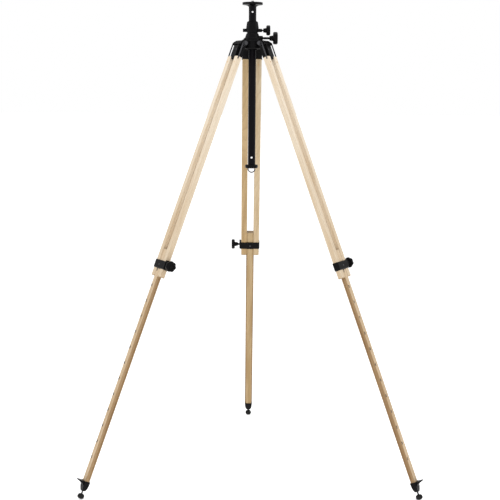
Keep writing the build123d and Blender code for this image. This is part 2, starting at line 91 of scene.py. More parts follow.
RAIL_OFFSET = 2.9               # rails' mid plane, outward of the hinge
RAIL_THICK = 17.0
RAIL_HALF_WIDTH = 33.0
RAIL_END = 820.8
LOWER_THICK = 15.0
LOWER_HALF_WIDTH = 11.7
GAP = 0.3                       # clearance between pieces that pass each other

BLOCK_PROUD = 0.6
FACE_SCREW_AT = 26.0
FACE_SCREW_ACROSS = 8.5
FACE_SCREW_HEAD = (3.6, 1.4)    # screw heads as radius and height
STRAP_THICK = 1.4
STRAP_MIDDLE = 8.0              # straps' centre line, outward of the hinge
STRAP_SCREW_AT = 54.8
STRAP_SCREW_HEAD = (1.6, 0.9)
RAIL_PIN_AT = 70.0
RAIL_PIN_ACROSS = 22.5
RAIL_PIN_R = 2.6

CLAMP_AT = 780.0
BAND_THICK = 2.0
PLATE_THICK = 1.6
CLAMP_SCREW_AT = 777.0
CLAMP_SCREW_R = 4.0
CLAMP_SCREW_END = 62.0
KNOB_R = 18.0
KNOB_SEAT = 45.5
KNOB_NECK = 11.5
KNOB_NECK_R = 6.2
KNOB_HUB_R = 8.3
KNOB_THICK = 12.0
KNOB_LOBES = 7

SHOE_THICK = 19.0
SHOE_SCREW_AT = 1530.0
SHOE_SCREW_HEAD = (4.2, 1.6)
SHOE_SCREW_BACK = (2.5, 0.9)
SPIKE_TOP = 1539.0
SPIKE_R = 2.8
PAD_TOP = 1563.27
PAD_HEIGHT = 16.0
PAD_R = 11.35
PAD_EDGE_R = 7.5
SPIKE_TIP = PAD_TOP + PAD_HEIGHT - 3.0

MARK_COUNT = 13
MARK_HIGHEST = 75               # number on the topmost mark
MARK_FALL = 5                   # difference between neighbouring numbers
MARK_SIZE = 11.5
MARK_FIRST_AT = 799.5
MARK_STEP = 53.5
MARK_ACROSS = -6.4


def leg_matrix(number):
    """Leg axes as a matrix: X outward, Y across the leg, Z up the leg, origin on the hinge."""
    spread = JOINTS[f"leg{number}_spread"]
    across = -Vector(spread["axis"])
    up = -Vector(JOINTS[f"leg{number}_extend"]["axis"])
    out = across.cross(up)
    matrix = Matrix((out, across, up)).transposed().to_4x4()
    matrix.translation = Vector(spread["pos_m"])
    return matrix


# ---- mesh helpers ------------------------------------------------------

def mesh_object(name, bm, matrix=None):
    """A new object from a bmesh made in millimetres."""
    bmesh.ops.scale(bm, vec=(MM, MM, MM), verts=bm.verts)
    bmesh.ops.recalc_face_normals(bm, faces=bm.faces)
    mesh = bpy.data.meshes.new(name)
    bm.to_mesh(mesh)
    bm.free()
    if matrix is not None:
        mesh.transform(matrix)
    obj = bpy.data.objects.new(name, mesh)
    bpy.context.scene.collection.objects.link(obj)
    return obj


def smooth_by_angle(obj, degrees=32):
    """Smooth shading with edges sharper than the angle kept crisp."""
    limit = math.radians(degrees)
    bm = bmesh.new()
    bm.from_mesh(obj.data)
    for face in bm.faces:
        face.smooth = True
    for edge in bm.edges:
        edge.smooth = edge.calc_face_angle(0.0) < limit
    bm.to_mesh(obj.data)
    bm.free()


def apply_modifiers(obj):
    """Bake an object's modifiers into its mesh."""
    bpy.context.view_layer.update()
    graph = bpy.context.evaluated_depsgraph_get()
    mesh = bpy.data.meshes.new_from_object(obj.evaluated_get(graph))
    obj.modifiers.clear()
    obj.data = mesh


def bevel(obj, width, segments=3, degrees=35):
    """Round the sharp edges of an object."""
    modifier = obj.modifiers.new("bevel", "BEVEL")
    modifier.width = width * MM
    modifier.segments = segments
    modifier.limit_method = "ANGLE"
    modifier.angle_limit = math.radians(degrees)
    modifier.use_clamp_overlap = True
    apply_modifiers(obj)


# ---- materials ---------------------------------------------------------

def new_material(name):
    """An empty node material with a Principled shader."""
    mat = bpy.data.materials.new(name)
    mat.use_nodes = True
    tree = mat.node_tree
    tree.nodes.clear()
    output = tree.nodes.new("ShaderNodeOutputMaterial")
    shader = tree.nodes.new("ShaderNodeBsdfPrincipled")
    tree.links.new(shader.outputs["BSDF"], output.inputs["Surface"])
    return mat, tree, shader


def add_node(tree, kind, settings=None, **inputs):
    """A node with its settings and unlinked or linked inputs; underscores in a name stand for spaces."""
    made = tree.nodes.new("ShaderNode" + kind)
    for key, value in (settings or {}).items():
        setattr(made, key, value)
    for key, value in inputs.items():
        index = int(key[1:]) if key[0] == "i" and key[1:].isdigit() else key.replace("_", " ")
        socket = made.inputs[index]
        if isinstance(value, bpy.types.NodeSocket):
            tree.links.new(value, socket)
        else:
            socket.default_value = value
    return made


def math_node(tree, operation, first, second=0.0):
    """The result of one math operation."""
    return add_node(tree, "Math", {"operation": operation}, i0=first, i1=second).outputs[0]


def ramp(tree, factor, *stops):
    """A colour ramp through (position, colour) stops."""
    made = add_node(tree, "ValToRGB", None, Fac=factor)
    elements = made.color_ramp.elements
    while len(elements) < len(stops):
        elements.new(1.0)
    for element, (position, colour) in zip(elements, stops):
        element.position = position
        element.color = (*colour, 1.0) if len(colour) == 3 else colour
    return made.outputs["Color"]


def grey(value):
    """A neutral colour."""
    return (value, value, value)


def mix_colour(tree, factor, first, second, blend="MIX"):
    """Two colours mixed by a factor."""
    made = tree.nodes.new("ShaderNodeMix")
    made.data_type = "RGBA"
    made.blend_type = blend
    for socket, value in zip((made.inputs[0], made.inputs[6], made.inputs[7]), (factor, first, second)):
        if isinstance(value, bpy.types.NodeSocket):
            tree.links.new(value, socket)
        elif socket == made.inputs[0]:
            socket.default_value = value
        else:
            socket.default_value = (*value, 1.0)
    return made.outputs[2]


def noise(tree, vector, scale, detail=4.0, rough=0.5):
    """Fractal noise of a vector."""
    made = add_node(tree, "TexNoise", None, Vector=vector, Scale=scale, Detail=detail, Roughness=rough)
    return made.outputs["Fac"]


def stretched(tree, vector, x, y, z):
    """A vector scaled along each axis."""
    return add_node(tree, "Mapping", None, Vector=vector, Scale=(x, y, z)).outputs["Vector"]


def set_bump(tree, shader, height, strength, distance):
    """Bump from a height value; distance is in millimetres."""
    bumped = add_node(tree, "Bump", None, Height=height, Strength=strength, Distance=distance * MM)
    tree.links.new(bumped.outputs["Normal"], shader.inputs["Normal"])


def set_constants(shader, **values):
    """Numbers set directly on the shader's own sockets."""
    for key, value in values.items():
        shader.inputs[key.replace("_", " ")].default_value = value


def ash(name, matrix, seed, tones, lower=False):
    """Clear-lacquered ash: grain down the leg and slanting porous rings, darker lower down as painted shade.

    A lower rail also gets painted shade on its sliding sides; an upper rail darkens at its cut end, partly for
    its darker end grain and partly as painted shadow.
    """
    mat, tree, shader = new_material(name)
    pale, tan = tones
    inverse = matrix.inverted()
    shift = Vector((seed, seed * 1.7, seed * 2.3))
    place = add_node(tree, "Mapping", None, Vector=add_node(tree, "TexCoord").outputs["Object"],
                     Rotation=inverse.to_euler("XYZ"), Location=inverse.translation + shift)
    leg = place.outputs["Vector"]
    parts = add_node(tree, "SeparateXYZ", None, Vector=leg)
    broad = noise(tree, stretched(tree, leg, 70, 70, 5.5), 1.0, 3.0)
    wander = noise(tree, stretched(tree, leg, 14, 14, 2.2), 1.0, 2.0)
    slant = math_node(tree, "MULTIPLY", parts.outputs["Y"], 0.45)
    lean = math_node(tree, "MULTIPLY", parts.outputs["Z"], 0.085)
    across = math_node(tree, "ADD", math_node(tree, "ADD", parts.outputs["X"], slant), lean)
    drift = math_node(tree, "MULTIPLY", wander, 0.030)
    ring = math_node(tree, "FRACT", math_node(tree, "MULTIPLY", math_node(tree, "ADD", across, drift), 210.0))
    ring_line = ramp(tree, ring, (0.0, grey(1.0)), (0.22, grey(0.42)), (0.55, grey(0.10)), (1.0, grey(0.0)))
    fibre = noise(tree, stretched(tree, leg, 1500, 1500, 28), 1.0, 3.0, 0.6)
    speckle = noise(tree, stretched(tree, leg, 2600, 2600, 90), 1.0, 2.0)
    pores = ramp(tree, speckle, (0.50, grey(0.0)), (0.66, grey(1.0)))
    base = mix_colour(tree, ramp(tree, broad, (0.40, grey(0.0)), (0.62, grey(1.0))), pale, tan)
    ringed = mix_colour(tree, math_node(tree, "MULTIPLY", ring_line, 0.50), base, tan)
    pored_share = math_node(tree, "MULTIPLY", math_node(tree, "MULTIPLY", ring_line, pores), 0.55)
    pored = mix_colour(tree, pored_share, ringed, ASH_PORE)
    fibred = mix_colour(tree, math_node(tree, "MULTIPLY", fibre, 0.16), pored, tan, "MULTIPLY")
    # Painted shade: the base colour darkens lower down the leg, where less light falls.
    down = add_node(tree, "MapRange", None, Value=parts.outputs["Z"],
                    From_Min=shift.z - 0.05, From_Max=shift.z - 1.00)
    painted_shade_down = mix_colour(tree, down.outputs["Result"], grey(1.0), (0.78, 0.70, 0.58))
    toned = mix_colour(tree, 1.0, fibred, painted_shade_down, "MULTIPLY")
    if lower:
        # Painted shade: the lower rail's sliding sides are darkened as if less lit.
        side = math_node(tree, "ABSOLUTE", math_node(tree, "SUBTRACT", parts.outputs["Y"], shift.y))
        painted_shade_mask = add_node(tree, "MapRange", None, Value=side,
                        From_Min=(LOWER_HALF_WIDTH - 1.9) * MM, From_Max=(LOWER_HALF_WIDTH - 0.3) * MM)
        stain_and_shade = (0.62, 0.52, 0.38)
    else:
        # Darker end grain with painted shadow: the upper rail darkens over its last few millimetres.
        painted_shade_mask = add_node(tree, "MapRange", None, Value=parts.outputs["Z"],
                        From_Min=shift.z - (RAIL_END - 4.8) * MM, From_Max=shift.z - (RAIL_END - 0.2) * MM)
        stain_and_shade = (0.58, 0.50, 0.40)
    stained_and_shaded = mix_colour(tree, painted_shade_mask.outputs["Result"], grey(1.0), stain_and_shade)
    tree.links.new(mix_colour(tree, 1.0, toned, stained_and_shaded, "MULTIPLY"), shader.inputs["Base Color"])
    rough = add_node(tree, "MapRange", None, Value=fibre, To_Min=0.38, To_Max=0.54)
    tree.links.new(rough.outputs["Result"], shader.inputs["Roughness"])
    height = math_node(tree, "SUBTRACT", math_node(tree, "MULTIPLY", fibre, 0.4), pored_share)
    set_bump(tree, shader, height, 0.35, 0.12)
    set_constants(shader, Coat_Weight=0.10, Coat_Roughness=0.25)
    return mat


def coated_metal(name, colour, rough, grain_size, grain_depth, wear):
    """Powder-coated casting: fine orange peel, faint mottling, edges rubbed lighter."""
    mat, tree, shader = new_material(name)
    spot = add_node(tree, "TexCoord").outputs["Object"]
    peel = noise(tree, spot, 1.0 / (grain_size * MM), 2.0)
    cloud = noise(tree, spot, 60.0, 4.0)
    edge = add_node(tree, "NewGeometry").outputs["Pointiness"]
    edge = ramp(tree, edge, (0.52, grey(0.0)), (0.60, grey(1.0)))
    scuffs = math_node(tree, "MULTIPLY", edge, math_node(tree, "MULTIPLY", noise(tree, spot, 420.0, 5.0), wear))
    lighter = tuple(c * 1.9 + 0.008 for c in colour)
    mottled = mix_colour(tree, cloud, colour, tuple(c * 1.35 for c in colour))
    worn = mix_colour(tree, scuffs, mottled, lighter)
    tree.links.new(worn, shader.inputs["Base Color"])
    roughness = ramp(tree, cloud, (0.3, grey(rough - 0.05)), (0.7, grey(rough + 0.07)))
    tree.links.new(roughness, shader.inputs["Roughness"])
    set_bump(tree, shader, peel, 0.5, grain_depth)
    set_constants(shader, Specular_IOR_Level=0.07)
    return mat


def anodised(name, colour, rough):
    """Black anodised tube: faint draw lines down its length and hand marks."""
    mat, tree, shader = new_material(name)
    spot = add_node(tree, "TexCoord").outputs["Object"]
    lines = noise(tree, stretched(tree, spot, 900, 900, 3), 1.0, 3.0)
    cloud = noise(tree, spot, 25.0, 4.0)
    tree.links.new(mix_colour(tree, lines, colour, tuple(c * 1.7 for c in colour)), shader.inputs["Base Color"])
    roughness = ramp(tree, cloud, (0.3, grey(rough - 0.05)), (0.75, grey(rough + 0.08)))
    tree.links.new(roughness, shader.inputs["Roughness"])
    set_bump(tree, shader, lines, 0.25, 0.03)
    set_constants(shader, Specular_IOR_Level=0.07)
    return mat


def steel(name, colour, rough):
    """Turned or drawn steel with fine brushing and slight staining."""
    mat, tree, shader = new_material(name)
    spot = add_node(tree, "TexCoord").outputs["Object"]
    brush = noise(tree, stretched(tree, spot, 400, 400, 3500), 1.0, 3.0)
    stain_and_shade = noise(tree, spot, 140.0, 5.0)
    stained_and_shaded = mix_colour(tree, stain_and_shade, colour, tuple(c * 0.72 for c in colour))
    tree.links.new(stained_and_shaded, shader.inputs["Base Color"])
    roughness = ramp(tree, stain_and_shade, (0.3, grey(rough)), (0.75, grey(rough + 0.15)))
    tree.links.new(roughness, shader.inputs["Roughness"])
    set_bump(tree, shader, brush, 0.2, 0.02)
    set_constants(shader, Metallic=1.0)
    return mat


def rubber(name):
    """Matt black rubber with a fine moulded grain and a little dust."""
    mat, tree, shader = new_material(name)
    spot = add_node(tree, "TexCoord").outputs["Object"]
    grain = noise(tree, spot, 1800.0, 3.0)
    dust = ramp(tree, noise(tree, spot, 160.0, 6.0), (0.52, grey(0.0)), (0.75, grey(1.0)))
    tree.links.new(mix_colour(tree, math_node(tree, "MULTIPLY", dust, 0.12), grey(0.008), (0.07, 0.066, 0.058)),
                   shader.inputs["Base Color"])
    tree.links.new(ramp(tree, dust, (0.0, grey(0.66)), (1.0, grey(0.85))), shader.inputs["Roughness"])
    set_bump(tree, shader, grain, 0.4, 0.08)
    set_constants(shader, Specular_IOR_Level=0.20)
    return mat


def ink(name, colour):
    """Printed mark with slightly uneven cover."""
    mat, tree, shader = new_material(name)
    spot = add_node(tree, "TexCoord").outputs["Object"]
    cover = noise(tree, spot, 1200.0, 3.0)
    thin = tuple(c * 1.8 + 0.01 for c in colour)
    tree.links.new(mix_colour(tree, cover, colour, thin), shader.inputs["Base Color"])
    set_constants(shader, Roughness=0.6)
    return mat


# Ash tones as (pale, darker) pairs: cream upper rails and sand lower ones; the first leg's boards take darker
# gold, straw and honey copies as painted shade.
ASH_PORE = (0.30, 0.20, 0.11)
CREAM = ((0.80, 0.71, 0.58), (0.71, 0.585, 0.43))
GOLD = ((0.57, 0.42, 0.22), (0.45, 0.31, 0.14))
STRAW = ((0.66, 0.55, 0.38), (0.55, 0.42, 0.25))
SAND = ((0.77, 0.65, 0.50), (0.62, 0.48, 0.31))
HONEY = ((0.57, 0.45, 0.27), (0.45, 0.32, 0.15))
REAR_LEG_SHADED_TONES = {(1, "rail_a"): GOLD, (1, "rail_b"): STRAW, (1, "lower_rail"): HONEY}

CASTING = coated_metal("black_casting", (0.0032, 0.0030, 0.0034), 0.34, 0.9, 0.10, 0.5)
PLASTIC = coated_metal("black_plastic", (0.0030, 0.0028, 0.0032), 0.30, 0.5, 0.05, 0.3)
TUBE = anodised("black_tube", (0.0030, 0.0026, 0.0038), 0.40)
DARK_STEEL = steel("dark_steel", (0.075, 0.075, 0.080), 0.36)
PIN_WOOD = ink("rail_pin", (0.42, 0.27, 0.14))
STOP_WOOD = ink("slide_stop_wood", (0.22, 0.155, 0.09))
STEEL = steel("plain_steel", (0.50, 0.50, 0.51), 0.30)
BLACK_ROD = steel("blackened_rod", (0.020, 0.021, 0.020), 0.34)
RUBBER = rubber("rubber")
MARK_INK = ink("mark_ink", (0.030, 0.022, 0.016))

SLOT_MATERIALS = {
    "black_casting": CASTING, "black_plastic": PLASTIC, "black_tube": TUBE,
    "dark_steel": DARK_STEEL, "steel": STEEL, "rubber": RUBBER,
}
NODE_SLOTS = {part["node"]: part["material_slot"] for part in frame["record"]["subparts"]}


def dress(obj, mat):
    """Give an object one material."""
    obj.data.materials.clear()
    obj.data.materials.append(mat)


def paint_cad_nodes():
    """Every CAD node takes the material of its slot; wood takes its own leg's grain."""
    for name, node in NODES.items():
        slot = NODE_SLOTS[name]
        if slot in SLOT_MATERIALS:
            dress(node, SLOT_MATERIALS[slot])
    for number in LEGS:
        matrix = leg_matrix(number)
        for index, rail in enumerate(("rail_a", "rail_b")):
            seed = number * 0.37 + index * 0.61
            # The first leg's rails take darker copies of the ash tones, as painted shade.
            tones = REAR_LEG_SHADED_TONES.get((number, rail), CREAM)
            dress(NODES[f"leg{number}_{rail}"], ash(f"ash_leg{number}_{rail}", matrix, seed, tones))
        seed = number * 0.53 + 2.0
        tones = REAR_LEG_SHADED_TONES.get((number, "lower_rail"), SAND)
        dress(NODES[f"leg{number}_lower_rail"], ash(f"ash_leg{number}_lower", matrix, seed, tones, lower=True))
        dress(NODES[f"leg{number}_slide_stop"], STOP_WOOD)


# ---- piece helpers -----------------------------------------------------

def settle(piece, node_name, mat=None):
    """Make a piece stand for a CAD node: it rides the node's body, takes the material of the node's slot and
    hides the node.
    """
    dress(piece, mat or SLOT_MATERIALS[NODE_SLOTS[node_name]])
    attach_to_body(piece, NODES[node_name]["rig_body"])
    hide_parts(node_name)


def attach(piece, body, slot, mat=None):
    """Make an extra piece ride on a body."""
    dress(piece, mat or SLOT_MATERIALS[slot])
    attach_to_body(piece, body)


def even_normals(obj):
    """Area-weighted normals, so that flats stay flat between rounded edges."""
    modifier = obj.modifiers.new("even", "WEIGHTED_NORMAL")
    modifier.keep_sharp = True
    modifier.weight = 100
    apply_modifiers(obj)


def softened(node_name, radius, segments=3, degrees=30):
    """A cast or pressed piece: the CAD node's form with its edges rounded over."""
    bm = bmesh.new()
    bm.from_mesh(NODES[node_name].data)
    bmesh.ops.remove_doubles(bm, verts=bm.verts, dist=2e-6)
    bmesh.ops.dissolve_limit(bm, angle_limit=math.radians(0.8), verts=bm.verts, edges=bm.edges)
    bmesh.ops.scale(bm, vec=(1 / MM, 1 / MM, 1 / MM), verts=bm.verts)
    piece = mesh_object(node_name + "_cast", bm)
    bevel(piece, radius, segments, degrees)
    smooth_by_angle(piece, 40)
    even_normals(piece)
    settle(piece, node_name)


def ring_of(bm, radius, height, segments, shape=None):
    """One ring of vertices about Z; shape gives a radius factor from the angle."""
    ring = []
    for i in range(segments):
        angle = math.tau * i / segments
        r = radius * (shape(angle) if shape else 1.0)
        ring.append(bm.verts.new((r * math.cos(angle), r * math.sin(angle), height)))
    return ring


def skin(bm, rings, closed_ends=True):
    """Faces between successive rings, with a fan at each end."""
    for low, high in zip(rings, rings[1:]):
        count = len(low)
        for i in range(count):
            j = (i + 1) % count
            bm.faces.new((low[i], low[j], high[j], high[i]))
    if closed_ends:
        for ring in (rings[0], rings[-1]):
            bm.faces.new(ring)


def rounded(points, radii, steps=5):
    """An open outline of (radius, height) points with its inner corners rounded."""
    out = [points[0]]
    for before, corner, after, radius in zip(points, points[1:], points[2:], radii):
        a, b, c = Vector(before), Vector(corner), Vector(after)
        to_a, to_c = (a - b), (c - b)
        if radius <= 0:
            out.append(corner)
            continue
        half = to_a.angle(to_c) / 2
        cut = min(radius / math.tan(half), to_a.length * 0.49, to_c.length * 0.49)
        start, end = b + to_a.normalized() * cut, b + to_c.normalized() * cut
        for k in range(steps + 1):
            f = k / steps
            point = start.lerp(b, f).lerp(b.lerp(end, f), f)
            out.append((point.x, point.y))
    out.append(points[-1])
    return out


def turned(name, outline, matrix=None, segments=96, sharp=35):
    """A turned piece from an outline of (radius, height) points, axis to axis."""
    bm = bmesh.new()
    rings = [ring_of(bm, max(r, 0.02), z, segments) for r, z in outline]
    skin(bm, rings)
    piece = mesh_object(name, bm, matrix)
    smooth_by_angle(piece, sharp)
    return piece


def aimed(position, direction, roll=0.0):
    """A matrix that puts Z along a direction at a position in metres."""
    turn = Vector(direction).to_track_quat("Z", "Y").to_matrix().to_4x4()
    return Matrix.Translation(Vector(position)) @ turn @ Matrix.Rotation(roll, 4, "Z")


def in_leg(number, out, across, down, turn=None):
    """A matrix at a point in leg axes, in millimetres."""
    place = leg_matrix(number) @ Matrix.Translation(Vector((out, across, -down)) * MM)
    return place @ turn if turn else place


FACE_OUT = Matrix.Rotation(math.radians(90), 4, "Y")        # Z turned outward
FACE_IN = Matrix.Rotation(math.radians(-90), 4, "Y")        # Z turned inward
FACE_ACROSS = Matrix.Rotation(math.radians(-90), 4, "X")    # Z turned across, to +t
FACE_BACK = Matrix.Rotation(math.radians(90), 4, "X")       # Z turned across, to -t
NARROWED = Matrix.Diagonal((0.62, 1, 1, 1))                 # condensed numerals
# Flat text turned onto the outer face, upright.
READ_UP = Matrix(((0, 0, 1, 0), (1, 0, 0, 0), (0, 1, 0, 0), (0, 0, 0, 1)))


def thread(name, radius, pitch, z0, z1, depth=0.55, point=0.0, matrix=None, segments=28):
    """A screw thread along Z with a small chamfer at the start and an optional pointed end at z0."""
    bm = bmesh.new()
    steps_per_turn = 8
    count = max(int((z1 - z0) / pitch * steps_per_turn), 4)
    rings = []
    for k in range(count + 1):
        z = z0 + (z1 - z0) * k / count
        ring = []
        for i in range(segments):
            angle = math.tau * i / segments
            phase = (z / pitch - i / segments) % 1.0
            flank = min(max(abs(phase - 0.5) * 2.6 - 0.15, 0.0), 1.0)
            r = radius - depth * flank
            end = min(z - z0, z1 - z) if point == 0 else z1 - z
            r = min(r, radius - 0.7 + end * 1.1)
            if point > 0:
                r = min(r, 0.25 + (z - z0) * (radius / point))
            ring.append(bm.verts.new((max(r, 0.1) * math.cos(angle), max(r, 0.1) * math.sin(angle), z)))
        rings.append(ring)
    skin(bm, rings)
    piece = mesh_object(name, bm, matrix)
    smooth_by_angle(piece, 50)
    return piece


def lobe_shape(lobes, depth, width=0.52):
    """Radius factor of a scalloped knob: full between the finger dents."""
    def factor(angle):
        step = math.tau / lobes
        off = ((angle + step / 2) % step - step / 2) / (step / 2)
        return 1.0 - depth * math.exp(-(off / width) ** 2)
    return factor


def knob(name, radius, thick, neck_r, hub, neck, lobes, matrix):
    """A moulded hand knob: plain neck, scalloped head with rolled edges, dished face and centre cap."""
    bm = bmesh.new()
    segments = lobes * 20
    dents = lobe_shape(lobes, 0.085)
    edge = thick * 0.30
    top = neck + thick
    rings = [ring_of(bm, neck_r - 0.4, 0, segments), ring_of(bm, neck_r, 0.5, segments)]
    rings.append(ring_of(bm, hub, neck - 0.6, segments))
    rings.append(ring_of(bm, hub + 1.2, neck, segments))
    steps = 6
    for k in range(steps + 1):
        turn = math.pi / 2 * k / steps
        level = neck + edge * (1 - math.cos(turn))
        rings.append(ring_of(bm, radius - edge * (1 - math.sin(turn)), level, segments, dents))
    rings.append(ring_of(bm, radius, neck + thick * 0.5, segments, dents))
    for k in range(steps + 1):
        turn = math.pi / 2 * k / steps
        level = top - edge * (1 - math.sin(turn))
        rings.append(ring_of(bm, radius - edge * (1 - math.cos(turn)), level, segments, dents))
    face = [(0.70, -0.1), (0.56, -0.35), (0.47, -0.5), (0.44, -1.0), (0.42, -1.9), (0.385, -2.0),
            (0.37, -1.6), (0.34, -1.1), (0.25, -0.75), (0.12, -0.6), (0.02, -0.55)]
    for share, drop in face:
        blend = lobe_shape(lobes, 0.05 * max(share - 0.5, 0) / 0.2)
        rings.append(ring_of(bm, radius * share, top + drop, segments, blend))
    skin(bm, rings)
    piece = mesh_object(name, bm, matrix)
    smooth_by_angle(piece, 48)
    return piece


def screw_head(name, radius, height, matrix, drive="cross"):
    """A domed screw head with a cross or slot cut in it."""
    bm = bmesh.new()
    segments = 48
    rings = [ring_of(bm, radius, 0, segments), ring_of(bm, radius, height * 0.25, segments)]
    steps = 7
    arm = radius * 0.16
    reach = radius * 0.62
    for k in range(1, steps + 1):
        turn = math.pi / 2 * k / steps
        r = max(radius * math.cos(turn) ** 0.8, 0.05)
        rings.append(ring_of(bm, r, height * (0.25 + 0.75 * math.sin(turn)), segments))
    skin(bm, rings)
    head = mesh_object(name, bm)
    cutter = bmesh.new()
    arms = 2 if drive == "cross" else 1
    length = reach if drive == "cross" else radius * 1.3
    for a in range(arms):
        made = bmesh.ops.create_cube(cutter, size=1.0)["verts"]
        bmesh.ops.scale(cutter, vec=(length * 2, arm * 2, height), verts=made)
        bmesh.ops.rotate(cutter, cent=(0, 0, 0), matrix=Matrix.Rotation(math.pi / 2 * a, 3, "Z"), verts=made)
        bmesh.ops.translate(cutter, vec=(0, 0, height * 1.05), verts=made)
    tool = mesh_object(name + "_tool", cutter)
    cut = head.modifiers.new("cut", "BOOLEAN")
    cut.object = tool
    cut.operation = "DIFFERENCE"
    cut.solver = "EXACT"
    cut.use_self = True
    apply_modifiers(head)
    bpy.data.objects.remove(tool)
    head.data.transform(matrix)
    smooth_by_angle(head, 40)
    return head


def joined(name, objects):
    """Several objects as one piece, in the part's frame."""
    bm = bmesh.new()
    for obj in objects:
        mesh = obj.data.copy()
        bpy.context.view_layer.update()
        mesh.transform(obj.matrix_world)
        bm.from_mesh(mesh)
        bpy.data.meshes.remove(mesh)
        bpy.data.objects.remove(obj)
    mesh = bpy.data.meshes.new(name)
    bm.to_mesh(mesh)
    bm.free()
    piece = bpy.data.objects.new(name, mesh)
    bpy.context.scene.collection.objects.link(piece)
    return piece


# ---- head and column ---------------------------------------------------

def make_head_castings():
    """Shoulder, column guide and hinge bolts with cast or rolled edges."""
    softened("shoulder", 1.1)
    softened("column_guide", 0.7)
    softened("hinge_bolts", 0.45, 2)


def make_platform():
    """Turned platform: rolled rim, three fine rings in the seat, flared neck and spigot."""
    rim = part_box("platform")[1].x / MM
    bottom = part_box("platform")[0].z / MM
    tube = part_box("column_tube")[1].x / MM
    tube_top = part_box("column_tube")[1].z / MM
    outline = rounded([
        (0, bottom), (tube - 2.5, bottom), (tube - 2.5, tube_top), (tube, tube_top),
        (tube + 0.6, tube_top + 1.2), (17.0, -11.1), (22.0, -9.1), (rim - 0.6, -7.5), (rim, -6.9),
        (rim, -0.6), (rim - 0.6, 0), (31.2, 0),
    ], [0, 0, 0.1, 0.5, 3.0, 4.0, 0.5, 0.4, 0.4, 0.5])
    for ring in (30.6, 24.6, 18.6):
        outline += [(ring, 0), (ring - 0.15, -0.45), (ring - 1.05, -0.45), (ring - 1.2, 0)]
    outline += [(7.5, 0), (7.4, -0.2), (7.4, -1.2), (0, -1.2)]
    settle(turned("platform_turned", outline, segments=128), "platform")


def make_instrument_screw():
    """Threaded instrument screw, 16 threads to the inch."""
    low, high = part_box("instrument_screw")
    piece = thread("instrument_screw_thread", high.x / MM, 1.5875, low.z / MM, high.z / MM, 0.75, segments=40)
    settle(piece, "instrument_screw")


def make_lock_screw(node_name, pitch, name):
    """A threaded lock screw along X."""
    low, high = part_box(node_name)
    radius = (high.z - low.z) / 2 / MM
    start = Vector((low.x, 0, (low.z + high.z) / 2))
    length = (high.x - low.x) / MM
    settle(thread(name, radius, pitch, 0, length, 0.6, matrix=aimed(start, (1, 0, 0))), node_name)


def make_head_knobs():
    """The two hand knobs on the column's lock screws."""
    for node_name, neck_r, hub, neck in (("collar_knob", 6.5, 8.1, 10.0), ("guide_knob", 7.5, 9.4, 12.0)):
        low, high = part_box(node_name)
        radius = (high.y - low.y) / 2 / MM
        thick = (high.x - low.x) / MM - neck
        base = Vector((low.x, 0, JOINTS[node_name + "_turn"]["pos_m"][2]))
        place = aimed(base, (1, 0, 0), 0.2)
        piece = knob(node_name + "_moulded", radius, thick, neck_r, hub, neck, KNOB_LOBES, place)
        settle(piece, node_name)


def make_set_screw():
    """Slotted grub screw in the platform's neck."""
    low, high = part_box("platform_set_screw")
    radius = (high.x - low.x) / 2 / MM
    base = Vector((0, high.y, (low.z + high.z) / 2))
    piece = screw_head("grub_screw", radius, (high.y - low.y) / MM, aimed(base, (0, -1, 0)), "slot")
    settle(piece, "platform_set_screw")


def make_end_cap():
    """Moulded end flange with a rolled edge and a spigot."""
    low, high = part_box("end_cap")
    rim = high.x / MM
    bottom = low.z / MM
    flange_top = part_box("column_tube")[0].z / MM
    outline = rounded([
        (0, bottom + 1.6), (7.0, bottom + 1.6), (8.2, bottom), (rim, bottom), (rim, flange_top),
        (12.9, flange_top), (10.0, flange_top), (10.0, flange_top + 14), (0, flange_top + 14),
    ], [0.6, 0.6, 5.4, 5.4, 0.2, 0, 0.8])
    settle(turned("end_cap_moulded", outline), "end_cap")


def make_weight_hook():
    """Bent wire hook with a rounded tip."""
    low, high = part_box("weight_hook")
    wire = (high.y - low.y) / 2 / MM
    bend = (high.x - low.x) / 2 / MM - wire
    centre = low.z / MM + wire + bend
    path = [(-bend, high.z / MM), (-bend, centre + 2)]
    steps = 30
    for k in range(steps + 1):
        angle = math.pi * k / steps
        path.append((-bend * math.cos(angle), centre - bend * math.sin(angle)))
    bm = bmesh.new()
    rings = []
    for index, (x, z) in enumerate(path):
        before = Vector(path[max(index - 1, 0)])
        after = Vector(path[min(index + 1, len(path) - 1)])
        along = (after - before).normalized()
        side = Vector((along.y, 0, -along.x))
        ends = len(path) - 1 - index
        r = wire if ends > 1 else wire * (0.55, 0.9)[ends]
        ring = []
        for i in range(20):
            angle = math.tau * i / 20
            offset = side * math.cos(angle) * r + Vector((0, 1, 0)) * math.sin(angle) * r
            ring.append(bm.verts.new((x + offset.x, offset.y, z + offset.z)))
        rings.append(ring)
    skin(bm, rings)
    piece = mesh_object("weight_hook_wire", bm)
    smooth_by_angle(piece, 50)
    settle(piece, "weight_hook")


# ---- legs --------------------------------------------------------------

